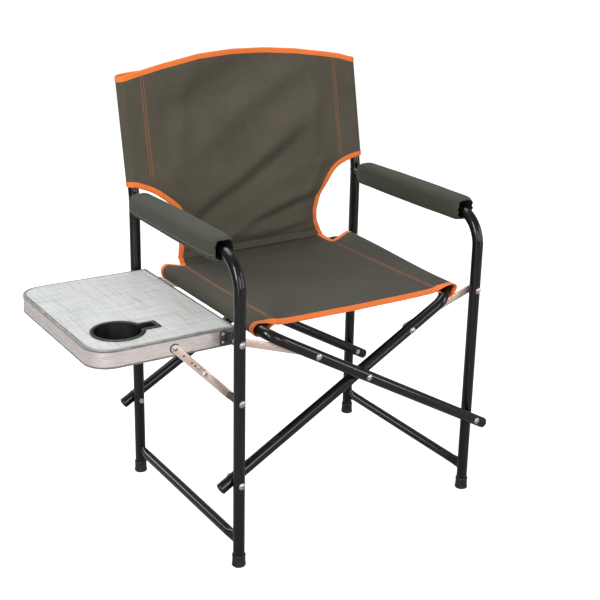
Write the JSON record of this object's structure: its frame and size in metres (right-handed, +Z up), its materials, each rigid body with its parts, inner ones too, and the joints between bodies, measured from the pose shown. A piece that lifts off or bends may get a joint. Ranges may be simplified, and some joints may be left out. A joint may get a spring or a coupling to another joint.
{
  "type": "director chair",
  "caption": "Folding director chair with crossed tube frames, slung fabric seat and back, padded arms and a fold-down side table with a cup holder.",
  "frame": {"origin": "on the ground, below the middle of the whole object's box", "axes": "+Z up, the sitter faces -Y, the side table is on the -X side"},
  "size_m": [0.8532, 0.5342, 0.889],
  "materials": {
    "black_frame_paint": "gloss black powder coat",
    "black_plastic": "moulded satin black plastic",
    "zinc_fastener": "bright zinc plate",
    "arm_fabric": "woven polyester, grey green",
    "seat_fabric": "woven polyester, dark olive",
    "binding_tape": "woven orange edge tape",
    "table_laminate": "linen texture laminate, light grey",
    "brushed_aluminium": "brushed extrusion",
    "bar_aluminium": "satin flat bar",
    "dark_steel": "dark burnished steel"
  },
  "bodies": {
    "table_side_frame": {"leg_and_arm_table_side": "black_frame_paint", "rear_post_table_side": "black_frame_paint", "lower_rail_table_side": "black_frame_paint", "foot_table_side_front": "black_plastic", "foot_table_side_rear": "black_plastic", "arm_pad_table_side": "arm_fabric", "arm_bolt_table_side": "zinc_fastener", "lower_bolt_table_side_front": "zinc_fastener", "lower_bolt_table_side_rear": "zinc_fastener", "upper_bolt_table_side_front": "zinc_fastener", "upper_bolt_table_side_rear": "zinc_fastener", "table_hinge_boss": "black_plastic", "strut_boss_front": "dark_steel", "strut_boss_rear": "dark_steel", "strut_leg_bolt_front": "zinc_fastener", "strut_leg_bolt_rear": "zinc_fastener"},
    "plain_side_frame": {"leg_and_arm_plain_side": "black_frame_paint", "rear_post_plain_side": "black_frame_paint", "lower_rail_plain_side": "black_frame_paint", "foot_plain_side_front": "black_plastic", "foot_plain_side_rear": "black_plastic", "arm_pad_plain_side": "arm_fabric", "arm_bolt_plain_side": "zinc_fastener", "lower_bolt_plain_side_front": "zinc_fastener", "lower_bolt_plain_side_rear": "zinc_fastener", "upper_bolt_plain_side_front": "zinc_fastener", "upper_bolt_plain_side_rear": "zinc_fastener"},
    "seat_frame_a": {"seat_frame_a": "black_frame_paint", "end_plug_a_front": "black_plastic", "end_plug_a_rear": "black_plastic", "centre_bolt_front": "zinc_fastener", "centre_bolt_rear": "zinc_fastener", "link_bolt_table_side_front": "zinc_fastener", "link_bolt_table_side_rear": "zinc_fastener"},
    "seat_frame_b": {"seat_frame_b": "black_frame_paint", "end_plug_b_front": "black_plastic", "end_plug_b_rear": "black_plastic", "link_bolt_plain_side_front": "zinc_fastener", "link_bolt_plain_side_rear": "zinc_fastener"},
    "links_table_side": {"link_table_side_front": "bar_aluminium", "link_table_side_rear": "bar_aluminium"},
    "links_plain_side": {"link_plain_side_front": "bar_aluminium", "link_plain_side_rear": "bar_aluminium"},
    "side_table": {"table_frame": "brushed_aluminium", "table_board": "table_laminate", "cup_holder": "black_plastic", "table_bracket_front": "dark_steel", "table_bracket_rear": "dark_steel", "strut_top_bolt_front": "zinc_fastener", "strut_top_bolt_rear": "zinc_fastener"},
    "strut_upper_arms": {"strut_upper_arm_front": "bar_aluminium", "strut_upper_arm_rear": "bar_aluminium"},
    "strut_lower_arms": {"strut_lower_arm_front": "bar_aluminium", "strut_lower_arm_rear": "bar_aluminium", "knee_rivet_front": "zinc_fastener", "knee_rivet_rear": "zinc_fastener"},
    "seat_cloth_a": {"seat_cloth_a": "seat_fabric"},
    "seat_cloth_b": {"seat_cloth_b": "seat_fabric"},
    "back_cloth_a": {"back_cloth_a": "seat_fabric"},
    "back_cloth_b": {"back_cloth_b": "seat_fabric"}
  },
  "joints": [
    {"name": "fold", "type": "hinge", "parent": "table_side_frame", "child": "seat_frame_b", "pos_m": [-0.16556, -0.03291, 0.17], "axis": [0, -1, 0], "range_deg": [0, 48.56]},
    {"name": "seat_frame_cross", "type": "hinge", "parent": "seat_frame_b", "child": "seat_frame_a", "pos_m": [0.11444, -0.03291, 0.328], "axis": [0, -1, 0], "range_deg": [-97.15, 0]},
    {"name": "plain_side_pivot", "type": "hinge", "parent": "seat_frame_a", "child": "plain_side_frame", "pos_m": [0.39444, -0.03291, 0.17], "axis": [0, -1, 0], "range_deg": [0, 48.59]},
    {"name": "table_side_link_pivot", "type": "hinge", "parent": "table_side_frame", "child": "links_table_side", "pos_m": [-0.16556, -0.03291, 0.449], "axis": [0, -1, 0], "range_deg": [0, 95.56]},
    {"name": "plain_side_link_pivot", "type": "hinge", "parent": "plain_side_frame", "child": "links_plain_side", "pos_m": [0.39444, -0.03291, 0.449], "axis": [0, -1, 0], "range_deg": [-95.56, 0]},
    {"name": "seat_cloth_a_swing", "type": "hinge", "parent": "seat_frame_a", "child": "seat_cloth_a", "pos_m": [-0.10747, -0.03291, 0.45322], "axis": [0, -1, 0], "range_deg": [-31.1, 0], "deforming": ["seat_cloth_a"]},
    {"name": "seat_cloth_middle_fold", "type": "hinge", "parent": "seat_cloth_a", "child": "seat_cloth_b", "pos_m": [0.11444, -0.03291, 0.46652], "axis": [0, -1, 0], "range_deg": [0, 159.31], "deforming": ["seat_cloth_b"]},
    {"name": "back_cloth_a_swing", "type": "hinge", "parent": "table_side_frame", "child": "back_cloth_a", "pos_m": [-0.16556, 0.18308, 0.615], "axis": [0, 0.1994, 0.9799], "range_deg": [0, 86.77], "deforming": ["back_cloth_a"]},
    {"name": "back_cloth_middle_fold", "type": "hinge", "parent": "back_cloth_a", "child": "back_cloth_b", "pos_m": [0.11444, 0.18151, 0.615], "axis": [0, 0.1994, 0.9799], "range_deg": [-157.45, 0], "deforming": ["back_cloth_b"]},
    {"name": "table_fold", "type": "hinge", "parent": "table_side_frame", "child": "side_table", "pos_m": [-0.16556, -0.03291, 0.449], "axis": [0, -1, 0], "range_deg": [0, 80]},
    {"name": "strut_top_pivot", "type": "hinge", "parent": "side_table", "child": "strut_upper_arms", "pos_m": [-0.27356, -0.03291, 0.447], "axis": [0, -1, 0], "range_deg": [-15.43, 0]},
    {"name": "strut_foot_pivot", "type": "hinge", "parent": "table_side_frame", "child": "strut_lower_arms", "pos_m": [-0.16556, -0.03291, 0.3354], "axis": [0, -1, 0], "range_deg": [-105.82, 0]}
  ],
  "couplings": [
    {"joint": "seat_frame_cross", "follows": "fold", "ratio": -2},
    {"joint": "plain_side_pivot", "follows": "fold", "ratio": 1},
    {"joint": "table_side_link_pivot", "follows": "fold", "ratio": 1.9673},
    {"joint": "plain_side_link_pivot", "follows": "fold", "ratio": -1.9673},
    {"joint": "seat_cloth_a_swing", "follows": "fold", "ratio": -0.63995},
    {"joint": "seat_cloth_middle_fold", "follows": "fold", "ratio": 3.2799},
    {"joint": "back_cloth_a_swing", "follows": "fold", "ratio": 1.7863},
    {"joint": "back_cloth_middle_fold", "follows": "fold", "ratio": -3.2417},
    {"joint": "strut_top_pivot", "follows": "table_fold", "ratio": -0.19262},
    {"joint": "strut_foot_pivot", "follows": "table_fold", "ratio": -1.3225}
  ]
}
